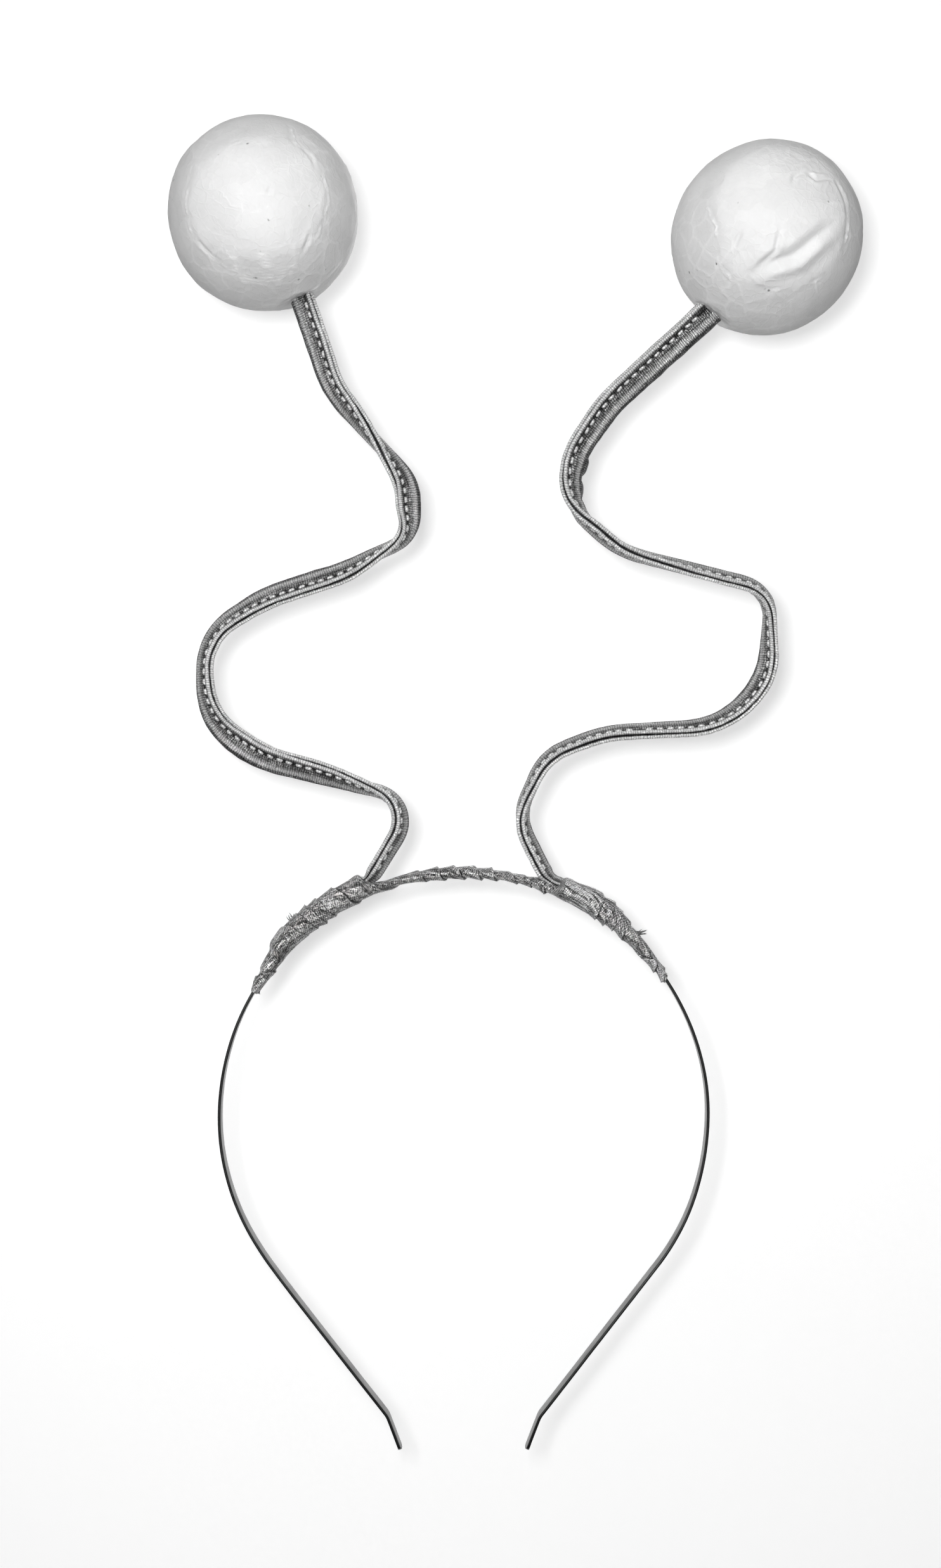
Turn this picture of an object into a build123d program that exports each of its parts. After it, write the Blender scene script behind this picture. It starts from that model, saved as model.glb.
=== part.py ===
from build123d import *

import math
import os

# Antenna headband: a sprung metal band, two wavy bendable-wire stalks in fabric
# sleeves, a bead-foam ball on each stalk, and a ribbon wound over the crown.
#
# Millimetres. +Z is up, the band's arch lies in the XZ plane and its strip is wide
# along Y. The origin is under the ribbon at the middle of the crown, where the
# band rests on the head. Angles round the arch count from straight up, towards +X.

# ---- Driving sizes ----

# Band: a flat sprung strip bent into an arch with two straight legs
band_radius = 64.0
band_width = 5.0
band_thickness = 0.8
leg_lean = 37.8
leg_length = 49.0
tip_lean = 21.0
tip_length = 8.6
tip_bend_radius = 6.0
tip_corner_radius = 1.6
arm_gap = 0.6

# Ribbon wound over the crown
ribbon_turns = 20
ribbon_left_angle = -59.4
ribbon_right_angle = 56.3
ribbon_inner = 1.2
ribbon_outer = 0.9
ribbon_side = 0.8
ribbon_step = 0.3
ribbon_turn_corner = 0.7

# Stalk: a wire core in the fold of a flat fabric sleeve
wire_diameter = 1.6
fold_diameter = 3.7
sleeve_depth = 7.6
lip_thickness = 2.3
lip_corner_radius = 0.8
seam_inset = 2.0
thread_diameter = 0.4

# Feet of the stalks, bound along the top of the band by the ribbon
left_foot_angle = -47.0
left_root_angle = -21.7
right_foot_angle = 38.0
right_root_angle = 19.7
foot_bend_radius = 56.0
root_bend_radius = 6.0

# Balls
ball_diameter = 50.0
hole_depth = 17.0
sleeve_depth_in_ball = 10.0
wire_end_gap = 1.0
thread_end_gap = 0.6

# Joints
swivel_height = 7.0
swivel_gap = 0.5
bend_gap = 1.6

# Clearances
wire_clearance = 0.05
slip_clearance = 0.08
face_gap = 0.05

# ---- Places worked out from the sizes ----

wire_radius = wire_diameter / 2
fold_radius = fold_diameter / 2
thread_radius = thread_diameter / 2
band_outer = band_radius + band_thickness / 2
band_inner = band_radius - band_thickness / 2
arch_z = ribbon_inner - band_inner
foot_radius = band_outer + face_gap + fold_radius
foot_half = math.radians(max(abs(left_foot_angle - left_root_angle),
                             abs(right_foot_angle - right_root_angle)) / 2)
foot_rise = (foot_radius - foot_bend_radius) * (1 / math.cos(foot_half) - 1)
wire_y = sleeve_depth / 2 - fold_radius
lip_y = -sleeve_depth / 2
everything = 1000.0


def on_arch(angle, radius):
    """Point (x, z) at an angle round the arch and a distance from its centre."""
    turn = math.radians(angle)
    return (radius * math.sin(turn), arch_z + radius * math.cos(turn))


def arch_plane(angle):
    """Cross-section plane of the arch: local X along the strip's width, Y outwards."""
    x, z = on_arch(angle, band_radius)
    turn = math.radians(angle)
    along = (math.cos(turn), 0, -math.sin(turn))
    return Plane(origin=(x, 0, z), x_dir=(0, 1, 0), z_dir=along)


def foot_points(foot_angle, root_angle):
    """Three points that lay a stalk's foot on the arch, from its end to the root."""
    middle = (foot_angle + root_angle) / 2
    half = math.radians(abs(root_angle - foot_angle) / 2)
    return [
        on_arch(foot_angle, foot_radius),
        on_arch(middle, foot_radius / math.cos(half)),
        on_arch(root_angle, foot_radius),
    ]


# ---- Routes of the two wires, in the XZ plane, from the foot's end into the ball ----

# Each stalk is a list of corners (x, z) with the bend radius at each corner. The
# three hinge points are where the wire runs straight up at its bends.
left_corners = [
    (-11.3, 20.3),
    (-54.0, 30.2),
    (-68.7, 40.0),
    (-68.7, 64.0),
    (-52.5, 75.0),
    (-31.0, 81.7),
    (-13.1, 90.0),
    (-13.1, 104.2),
    (-35.5, 128.2),
]
left_bends = [8.3, 35.0, 20.0, 17.0, 40.0, 60.0, 9.0, 14.0, 25.0]
left_ball = (-52.7, 174.5)
left_entry_angle = 109.0
left_hinges = [(-16.2, 15.2), (-68.7, 52.8), (-13.1, 97.2)]

right_corners = [
    (14.25, 16.0),
    (21.4, 32.3),
    (37.0, 38.4),
    (67.5, 40.2),
    (79.2, 52.5),
    (81.5, 76.0),
    (41.0, 86.2),
    (29.0, 96.8),
    (29.0, 109.0),
    (39.5, 123.9),
]
right_bends = [12.0, 14.0, 35.0, 22.0, 22.0, 9.0, 25.0, 12.0, 20.0, 40.0]
right_ball = (79.7, 168.2)
right_entry_angle = 42.1
right_hinges = [(15.4, 16.5), (80.8, 69.2), (29.0, 102.7)]


def ball_entry(last_corner, entry_angle, ball):
    """Point where a straight run at entry_angle meets the ball, and its direction."""
    turn = math.radians(entry_angle)
    direction = Vector(math.cos(turn), 0, math.sin(turn))
    start = Vector(last_corner[0], 0, last_corner[1])
    centre = Vector(ball[0], 0, ball[1])
    nearest = (centre - start).dot(direction)
    miss = (centre - start - direction * nearest).length
    inside = math.sqrt((ball_diameter / 2) ** 2 - miss**2)
    return start + direction * (nearest - inside), direction


def stalk_path(points, bends):
    """Wire path of straight runs joined by tangent arcs."""
    with BuildLine(Plane.XZ) as path:
        FilletPolyline(*points, radius=bends)
    return path.line


def start_plane(path):
    """Section plane at the path's start: local X is +Y, where the fold lies."""
    return Plane(origin=path @ 0, x_dir=(0, 1, 0), z_dir=path % 0)


def swept(path, profile):
    """Solid made by carrying a profile along a path that stays in the XZ plane."""
    with BuildPart() as piece:
        sweep(profile, path=path)
    return piece.part


def wire_profile(path, radius):
    with BuildSketch(start_plane(path)) as profile:
        with Locations((wire_y, 0)):
            Circle(radius)
    return profile.sketch


def sleeve_profile(path, grow=0.0):
    """Round fold at the back, with the two flat stitched lips in front of it."""
    reach = wire_y - lip_y + grow
    with BuildSketch(start_plane(path)) as profile:
        with Locations((wire_y, 0)):
            Circle(fold_radius + grow)
            Rectangle(reach, lip_thickness + 2 * grow, align=(Align.MAX, Align.CENTER))
        fillet(profile.vertices().group_by(Axis.Y)[0], lip_corner_radius)
    return profile.sketch


def thread_profile(path):
    """The stitching runs along both lips, a little way in from their edge."""
    height = lip_thickness / 2 + thread_radius + face_gap
    with BuildSketch(start_plane(path)) as profile:
        with Locations((lip_y + seam_inset, height), (lip_y + seam_inset, -height)):
            Circle(thread_radius)
    return profile.sketch


def between(solid, low, high):
    """The part of a solid that lies above one plane and below another."""
    with BuildPart() as piece:
        add(solid)
        split(bisect_by=low, keep=Keep.TOP)
        split(bisect_by=high, keep=Keep.BOTTOM)
    return piece.part


def round_foot(angle, length, gap):
    """Block round a stalk's foot and the band below it, with a gap on all sides."""
    half = min(math.degrees(length / 2 / foot_radius), 60.0)
    with BuildPart() as block:
        with BuildSketch(arch_plane(angle - half)):
            with Locations((0, -band_thickness / 2 - gap)):
                Rectangle(
                    sleeve_depth + 2 * gap,
                    band_thickness + face_gap + fold_diameter + foot_rise + 2 * gap,
                    align=(Align.CENTER, Align.MIN),
                )
        revolve(axis=Axis((0, 0, arch_z), (0, 1, 0)), revolution_arc=2 * half)
    return block.part


def write(piece, node):
    piece.label = node
    export_step(piece, f"parts/{node}.step")


os.makedirs("parts", exist_ok=True)

# ---- Band ----

with BuildPart() as band_crown:
    with BuildLine(Plane.XZ) as crown_line:
        CenterArc(
            (0, arch_z),
            band_radius,
            90 - ribbon_left_angle,
            ribbon_left_angle - ribbon_right_angle,
        )
    with BuildSketch(start_plane(crown_line.line)):
        Rectangle(band_width, band_thickness)
    sweep(path=crown_line.line)

write(band_crown.part, "band_crown")

arm_gap_angle = math.degrees(arm_gap / band_radius)
for side, ribbon_angle in (("left", -ribbon_left_angle), ("right", ribbon_right_angle)):
    arm_start = 90 - ribbon_angle - arm_gap_angle
    with BuildPart() as band_arm:
        with BuildLine(Plane.XZ) as arm_line:
            arc = CenterArc((0, arch_z), band_radius, arm_start, -arm_start - leg_lean)
            leg = Line(arc @ 1, arc @ 1 + (arc % 1) * leg_length)
            bend = JernArc(leg @ 1, leg % 1, tip_bend_radius, leg_lean - tip_lean)
            Line(bend @ 1, bend @ 1 + (bend % 1) * tip_length)
        with BuildSketch(start_plane(arm_line.line)):
            Rectangle(band_width, band_thickness)
        sweep(path=arm_line.line)
        tip_face = band_arm.faces().sort_by(Axis.Z)[0]
        tip_edges = tip_face.edges().sort_by(SortBy.LENGTH)[:2]
        fillet(tip_edges, tip_corner_radius)
        if side == "left":
            mirror(about=Plane.YZ, mode=Mode.REPLACE)
    write(band_arm.part, f"{side}_band_arm")

# ---- Stalks ----

ribbon_rooms = []
stalk_sides = (
    (
        "left",
        left_foot_angle,
        left_root_angle,
        left_corners,
        left_bends,
        left_entry_angle,
        left_ball,
        left_hinges,
    ),
    (
        "right",
        right_foot_angle,
        right_root_angle,
        right_corners,
        right_bends,
        right_entry_angle,
        right_ball,
        right_hinges,
    ),
)
for side, foot_angle, root_angle, corners, bends, entry_angle, ball, hinges in stalk_sides:
    foot = foot_points(foot_angle, root_angle)
    entry, inwards = ball_entry(corners[-1], entry_angle, ball)
    hole_end = entry + inwards * hole_depth
    points = foot + corners + [(hole_end.X, hole_end.Z)]
    path = stalk_path(points, [foot_bend_radius, root_bend_radius] + bends)

    # Cutting planes, from the foot up: the swivel, three bends, and the ends in the ball
    root = Vector(foot[-1][0], 0, foot[-1][1])
    upwards = (Vector(corners[0][0], 0, corners[0][1]) - root).normalized()
    swivel = Plane(origin=root + upwards * swivel_height, z_dir=upwards)
    levels = [Plane.XY.offset(z) for _, z in hinges]
    sleeve_end = Plane(origin=entry + inwards * sleeve_depth_in_ball, z_dir=inwards)
    wire_end = Plane(origin=hole_end - inwards * wire_end_gap, z_dir=inwards)
    thread_end = Plane(origin=entry - inwards * thread_end_gap, z_dir=inwards)
    below = swivel.offset(-everything)
    cuts = (
        ("foot", below, swivel.offset(-swivel_gap / 2)),
        ("base", swivel.offset(swivel_gap / 2), levels[0].offset(-bend_gap / 2)),
        ("lower", levels[0].offset(bend_gap / 2), levels[1].offset(-bend_gap / 2)),
        ("middle", levels[1].offset(bend_gap / 2), levels[2].offset(-bend_gap / 2)),
        ("upper", levels[2].offset(bend_gap / 2), None),
    )

    whole_wire = swept(path, wire_profile(path, wire_radius))
    wire_bore = swept(path, wire_profile(path, wire_radius + wire_clearance))
    whole_thread = swept(path, thread_profile(path))
    whole_sleeve = swept(path, sleeve_profile(path))
    sleeve_hole = swept(path, sleeve_profile(path, slip_clearance))

    for name, low, high in cuts:
        write(between(whole_wire, low, high or wire_end), f"{side}_wire_{name}")
        with BuildPart() as sleeve:
            add(between(whole_sleeve, low, high or sleeve_end))
            add(wire_bore, mode=Mode.SUBTRACT)
        write(sleeve.part, f"{side}_sleeve_{name}")
        if name != "foot":
            write(between(whole_thread, low, high or thread_end), f"{side}_thread_{name}")

    # The ball is drilled for the sleeve's end, and glue fills the rest of the hole
    with BuildPart() as foam_ball:
        with Locations((ball[0], 0, ball[1])):
            Sphere(ball_diameter / 2)
        add(between(sleeve_hole, levels[2], sleeve_end.offset(everything)), mode=Mode.SUBTRACT)
    write(foam_ball.part, f"{side}_ball")

    glue_end = Plane(origin=hole_end - inwards * face_gap, z_dir=inwards)
    with BuildPart() as glue:
        add(between(whole_sleeve, sleeve_end.offset(face_gap), glue_end))
        add(between(wire_bore, levels[2], wire_end.offset(face_gap)), mode=Mode.SUBTRACT)
    write(glue.part, f"{side}_glue")

    # Room inside the ribbon for the foot and the stalk's way out
    foot_middle = (foot_angle + root_angle) / 2
    foot_length = math.radians(abs(foot_angle - root_angle)) * foot_radius
    foot_gap = slip_clearance + face_gap
    ribbon_rooms.append(round_foot(foot_middle, foot_length + fold_diameter, foot_gap))
    with BuildPart() as way_out:
        with BuildSketch(Plane(origin=root, x_dir=(0, 1, 0), z_dir=upwards)):
            Rectangle(sleeve_depth + 2 * slip_clearance, fold_diameter + 2 * slip_clearance)
        extrude(amount=swivel_height)
    ribbon_rooms.append(way_out.part)

# ---- Ribbon ----


def over_foot(angle):
    """1 where the ribbon passes over a stalk's foot, and 0 elsewhere on the arch."""
    for foot_angle, root_angle in (
        (left_foot_angle, left_root_angle),
        (right_foot_angle, right_root_angle),
    ):
        if abs(angle - (foot_angle + root_angle) / 2) < abs(foot_angle - root_angle) / 2:
            return 1
    return 0


with BuildPart() as band_room:
    with BuildLine(Plane.XZ) as room_line:
        CenterArc(
            (0, arch_z),
            band_radius,
            90 - ribbon_left_angle + arm_gap_angle,
            ribbon_left_angle - ribbon_right_angle - 2 * arm_gap_angle,
        )
    with BuildSketch(start_plane(room_line.line)):
        Rectangle(band_width + 2 * slip_clearance, band_thickness + 2 * slip_clearance)
    sweep(path=room_line.line)
ribbon_rooms.append(band_room.part)

ribbon_pitch = (ribbon_right_angle - ribbon_left_angle) / ribbon_turns
with BuildPart() as ribbon_wrap:
    for turn in range(ribbon_turns):
        start = ribbon_left_angle + turn * ribbon_pitch
        share = over_foot(start + ribbon_pitch / 2)
        for angle, lift in ((start, ribbon_step), (start + ribbon_pitch, 0.0)):
            height = ribbon_outer + share * fold_diameter + lift
            width = band_width + share * (sleeve_depth - band_width) + 2 * ribbon_side + lift
            with BuildSketch(arch_plane(angle)):
                with Locations((0, -band_thickness / 2 - ribbon_inner)):
                    RectangleRounded(
                        width,
                        ribbon_inner + band_thickness + height,
                        ribbon_turn_corner,
                        align=(Align.CENTER, Align.MIN),
                    )
        loft(ruled=True)
    for room in ribbon_rooms:
        add(room, mode=Mode.SUBTRACT)
write(ribbon_wrap.part, "ribbon_wrap")
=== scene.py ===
import math

import bmesh
import bpy
import numpy as np
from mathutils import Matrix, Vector


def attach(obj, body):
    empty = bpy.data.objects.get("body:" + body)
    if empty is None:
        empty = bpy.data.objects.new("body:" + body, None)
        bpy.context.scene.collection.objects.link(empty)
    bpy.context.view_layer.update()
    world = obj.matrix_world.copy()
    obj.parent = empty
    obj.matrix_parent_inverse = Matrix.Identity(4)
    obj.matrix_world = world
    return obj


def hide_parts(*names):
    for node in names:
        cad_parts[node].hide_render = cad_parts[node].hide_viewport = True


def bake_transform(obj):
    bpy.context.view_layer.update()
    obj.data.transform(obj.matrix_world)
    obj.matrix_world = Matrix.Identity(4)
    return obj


# Looks for the antenna headband: the sprung band, the ribbon wound over its crown,
# two wire stalks in stitched fabric sleeves, and a bead-foam ball on each stalk.
# Lengths in this file are in millimetres until a mesh is made, which turns them
# into metres. +Z is up and the camera looks along +Y.

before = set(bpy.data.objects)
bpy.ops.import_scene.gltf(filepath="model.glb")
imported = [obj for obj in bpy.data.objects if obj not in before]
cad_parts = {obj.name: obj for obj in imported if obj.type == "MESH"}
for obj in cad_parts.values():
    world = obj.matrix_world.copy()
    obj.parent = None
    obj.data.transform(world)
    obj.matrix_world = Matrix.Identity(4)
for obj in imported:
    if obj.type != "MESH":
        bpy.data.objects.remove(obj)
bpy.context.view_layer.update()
MM = 0.001

# ---- Sizes shared with the CAD model ----

BAND_RADIUS = 64.0
BAND_WIDTH = 5.0
BAND_THICKNESS = 0.8
ARCH_Z = -62.4
LEG_LEAN = 37.8
LEG_LENGTH = 49.0
TIP_LEAN = 21.0
TIP_LENGTH = 8.6
TIP_BEND_RADIUS = 6.0
TIP_CORNER_RADIUS = 1.6
RIBBON_LEFT = -59.4
RIBBON_RIGHT = 56.3
FOOT_RADIUS = 66.3
FOOT_BEND_RADIUS = 56.0
ROOT_BEND_RADIUS = 6.0
WIRE_Y = 1.95
BALL_RADIUS = 25.0
SLEEVE_IN_BALL = 10.0

# The stalks: each wire's corners (x, z), its bend radii and its three bend points
STALKS = {
    "left": {
        "foot": (-47, -21.7),
        "corners": [
            (-11.3, 20.3), (-54, 30.2), (-68.7, 40), (-68.7, 64), (-52.5, 75), (-31, 81.7),
            (-13.1, 90), (-13.1, 104.2), (-35.5, 128.2),
        ],
        "bends": [8.3, 35, 20, 17, 40, 60, 9, 14, 25],
        "ball": (-52.7, 174.5),
        "entry_angle": 109,
        "hinges": [(-16.2, 15.2), (-68.7, 52.8), (-13.1, 97.2)],
        "splits": [(-34, 25.7), (-42, 78.3)],
        # Where the lips point: at a place (x, z), degrees to the left of straight
        # towards the camera
        "tilts": [
            (-36, -6, 0), (-24.5, -0.8, 12), (-15, 13.5, 18), (-18.8, 21.8, 6), (-35, 25.9, -35),
            (-50, 29.3, -48), (-59, 33.3, -57), (-68, 45, -34), (-68.7, 54, -23), (-62, 68.5, -32),
            (-50, 75.8, -42), (-31, 81.7, -38), (-16.9, 88.2, 0), (-13.1, 97, 53),
            (-16.5, 107.5, 36), (-22.5, 114.6, 0), (-31, 123, -30), (-38, 136, -43),
            (-43.5, 149, -43),
        ],
        "scallops": [],
    },
    "right": {
        "foot": (38, 19.7),
        "corners": [
            (14.25, 16), (21.4, 32.3), (37, 38.4), (67.5, 40.2), (79.2, 52.5), (81.5, 76),
            (41, 86.2), (29, 96.8), (29, 109), (39.5, 123.9),
        ],
        "bends": [12, 14, 35, 22, 22, 9, 25, 12, 20, 40],
        "ball": (79.7, 168.2),
        "entry_angle": 42.1,
        "hinges": [(15.4, 16.5), (80.8, 69.2), (29, 102.7)],
        "splits": [(46, 38.9), (54, 82.9)],
        "tilts": [
            (32, -5, 10), (22.4, 0, 15), (16.5, 13, 15), (15.8, 18.5, 0), (22.5, 32, -12),
            (45, 38.8, -15), (67, 41, -20), (79, 53, -28), (80.8, 67, 0), (76, 77.4, 18),
            (60, 81.4, 16), (44, 85.6, 4), (36, 90.5, -4), (32.5, 93.5, -2), (29.9, 97.3, 12),
            (28.9, 103, 36), (31, 112, 45), (36, 119, 50), (50, 136, 56), (60, 147, 60),
        ],
        "scallops": [(31.9, 108.3), (31.1, 102.2), (32.3, 97.5)],
    },
}


# ---- Small tools ----


def noise(points, seed):
    """Smooth noise from -1 to 1 at n x 3 points, with a cell of one unit."""
    points = np.asarray(points, float)
    cell = np.floor(points).astype(np.int64)
    part = points - cell
    part = part * part * (3 - 2 * part)
    total = np.zeros(len(points))
    for corner in np.ndindex(2, 2, 2):
        at = cell + np.array(corner)
        mixed = (at[:, 0] * 73856093) ^ (at[:, 1] * 19349663) ^ (at[:, 2] * 83492791)
        mixed = mixed ^ (seed * 2654435761)
        mixed = (mixed ^ (mixed >> 13)) * 1274126177
        mixed = (mixed ^ (mixed >> 16)) & 0xFFFF
        weight = np.where(corner, part, 1 - part).prod(axis=1)
        total += weight * (mixed / 32767.5 - 1)
    return total


def layered(points, seed, layers=3):
    """Noise with finer, weaker layers added."""
    total, size, strength = 0.0, 1.0, 1.0
    for layer in range(layers):
        total = total + strength * noise(np.asarray(points) * size, seed + layer * 17)
        size, strength = size * 2.1, strength * 0.5
    return total


def grid_points(first, second, third=0.0):
    """Three arrays that broadcast together, as n x 3 points."""
    parts = np.broadcast_arrays(first, second, third)
    return np.stack([p.ravel() for p in parts], axis=1)


def field(seed, *parts, layers=1):
    """Layered noise over arrays that broadcast together, in their shared shape."""
    return layered(grid_points(*parts), seed, layers).reshape(np.broadcast(*parts).shape)


def bell(distance, width):
    """1 at no distance, falling off smoothly over a width."""
    return np.exp(-((distance / width) ** 2))


def smoothed(values, steps):
    """Running Gaussian average along the first axis, with the ends held."""
    reach = int(3 * steps)
    if reach < 1:
        return values
    weights = np.exp(-0.5 * (np.arange(-reach, reach + 1) / steps) ** 2)
    weights /= weights.sum()
    values = np.asarray(values, float)
    flat = values.reshape(len(values), -1)
    padded = np.concatenate(
        [2 * flat[:1] - flat[reach:0:-1], flat, 2 * flat[-1:] - flat[-2 : -reach - 2 : -1]]
    )
    out = np.stack([np.convolve(c, weights, mode="valid") for c in padded.T], axis=1)
    return out.reshape(values.shape)


def on_arch(angle, radius):
    """Point (x, z) at an angle round the arch and a distance from its centre."""
    turn = np.radians(angle)
    return np.stack([radius * np.sin(turn), ARCH_Z + radius * np.cos(turn)], axis=-1)


def add_object(name, data):
    made = bpy.data.objects.new(name, data)
    bpy.context.scene.collection.objects.link(made)
    return made


def paint(mesh, name, values):
    """Store a number or a vector on each of a mesh's points."""
    values = np.asarray(values, np.float32)
    kind, key = ("FLOAT_VECTOR", "vector") if values.ndim > 1 else ("FLOAT", "value")
    mesh.attributes.new(name, kind, "POINT").data.foreach_set(key, values.ravel())


def mesh_object(name, points, faces, coords, relief_and_shade=None):
    """A mesh from points in millimetres, with its pattern coordinates as 'weave' and, when given,
    a value from 0 to 1 that its material paints from: painted shade in the cloth's recesses,
    painted highlight on its crests, and darker edges on the band."""
    mesh = bpy.data.meshes.new(name)
    mesh.from_pydata((np.asarray(points) * MM).tolist(), [], faces)
    mesh.update()
    paint(mesh, "weave", coords)
    if relief_and_shade is not None:
        paint(mesh, "relief_and_shade", relief_and_shade)
    mesh.shade_smooth()
    return add_object(name, mesh)


def ring_faces(count, around, first=0, ends=(True, True), flip=False):
    """Faces of a closed-round tube whose rings start at a vertex number."""
    faces = []
    for low in range(first, first + (count - 1) * around, around):
        for j in range(around):
            k = (j + 1) % around
            faces.append((low + j, low + k, low + around + k, low + around + j))
    if ends[0]:
        faces.append(tuple(range(first, first + around))[::-1])
    if ends[1]:
        faces.append(tuple(range(first + (count - 1) * around, first + count * around)))
    return [face[::-1] for face in faces] if flip else faces


def tube(name, rings, coords, relief_and_shade, ends=(True, True)):
    """A closed-round tube from rings (count x around x 3), with its ends capped."""
    faces = ring_faces(*rings.shape[:2], ends=ends)
    return mesh_object(name, rings.reshape(-1, 3), faces, coords.reshape(-1, 3), relief_and_shade.ravel())


def run_length(line):
    """Length along a line of points, from its start."""
    return np.append(0.0, np.cumsum(np.linalg.norm(np.diff(line, axis=0), axis=1)))


def headings(line):
    """Unit headings along a line, and the unit vectors to their left."""
    ahead = np.gradient(line, axis=0)
    ahead /= np.linalg.norm(ahead, axis=1)[:, None]
    return ahead, np.stack([-ahead[:, 1], ahead[:, 0]], axis=1)


def at_lean(degrees):
    """Unit vector (x, z) down a right-hand arm that leans in by an angle."""
    turn = math.radians(degrees)
    return np.array([-math.sin(turn), -math.cos(turn)])


# ---- Materials ----


class Nodes:
    """Short calls for building the node tree of a material or of the world."""

    def __init__(self, owner):
        self.tree = owner.node_tree

    def add(self, kind, inputs=None, **settings):
        node = self.tree.nodes.new(kind)
        for key, value in settings.items():
            setattr(node, key, value)
        for key, value in (inputs or {}).items():
            self.put(node.inputs[key], value)
        return node

    def put(self, socket, value):
        if isinstance(value, bpy.types.NodeSocket):
            self.tree.links.new(value, socket)
        else:
            socket.default_value = value

    def math(self, operation, *values):
        node = self.add("ShaderNodeMath", operation=operation)
        for socket, value in zip(node.inputs, values):
            self.put(socket, value)
        return node.outputs[0]

    def times(self, first, second):
        return self.math("MULTIPLY", first, second)

    def sine(self, value):
        return self.math("SINE", value)

    def total(self, *terms):
        """Sum of values, each times its weight."""
        out = None
        for value, weight in terms:
            part = value if weight == 1 else self.times(value, weight)
            out = part if out is None else self.math("ADD", out, part)
        return out

    def remap(self, value, low, high, to_low, to_high):
        node = self.add("ShaderNodeMapRange")
        for socket, part in zip(node.inputs, (value, low, high, to_low, to_high)):
            self.put(socket, part)
        return node.outputs[0]

    def ramp(self, value, *stops):
        node = self.add("ShaderNodeValToRGB", {"Fac": value})
        points = node.color_ramp.elements
        while len(points) < len(stops):
            points.new(0.5)
        for point, (place, shade) in zip(points, stops):
            point.position = place
            point.color = (*shade, 1) if isinstance(shade, tuple) else (shade,) * 3 + (1,)
        return node.outputs["Color"]

    def mix(self, factor, first, second, blend="MIX"):
        node = self.add("ShaderNodeMix", data_type="RGBA", blend_type=blend)
        for socket, value in ((0, factor), (6, first), (7, second)):
            if isinstance(value, (int, float)) and socket:
                value = (value, value, value, 1)
            self.put(node.inputs[socket], value)
        return node.outputs[2]

    def coords(self, attribute=None):
        if attribute:
            return self.add("ShaderNodeAttribute", attribute_name=attribute).outputs["Vector"]
        return self.add("ShaderNodeTexCoord").outputs["Object"]

    def scaled(self, vector, scale):
        scale = scale if isinstance(scale, tuple) else (scale,) * 3
        node = self.add("ShaderNodeVectorMath", {0: vector, 1: scale}, operation="MULTIPLY")
        return node.outputs[0]

    def noise(self, vector, scale=1.0, detail=2.0, roughness=0.5, distortion=0.0):
        inputs = {"Vector": vector, "Scale": scale, "Detail": detail}
        inputs.update(Roughness=roughness, Distortion=distortion)
        return self.add("ShaderNodeTexNoise", inputs).outputs["Fac"]

    def voronoi(self, vector, scale, output="Distance", randomness=1.0, **settings):
        inputs = {"Vector": vector, "Scale": scale, "Randomness": randomness}
        return self.add("ShaderNodeTexVoronoi", inputs, **settings).outputs[output]

    def first_channel(self, colour):
        return self.add("ShaderNodeSeparateColor", {0: colour}).outputs[0]

    def painted(self, name):
        """A number stored on the mesh's points."""
        return self.add("ShaderNodeAttribute", attribute_name=name).outputs["Fac"]

    def bump(self, height, strength, distance):
        inputs = {"Height": height, "Strength": strength, "Distance": distance}
        return self.add("ShaderNodeBump", inputs).outputs["Normal"]



class Look(Nodes):
    """The node tree of one new material."""

    def __init__(self, name):
        self.material = bpy.data.materials.new(name)
        self.material.use_nodes = True
        super().__init__(self.material)
        self.shader = self.tree.nodes["Principled BSDF"]

    def set(self, **values):
        for key, value in values.items():
            self.put(self.shader.inputs[key.replace("_", " ")], value)
        return self.material


WARP_PITCH = 0.36
THREAD_LENGTH = 0.55
THREAD_WIDTH = 0.3


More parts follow.
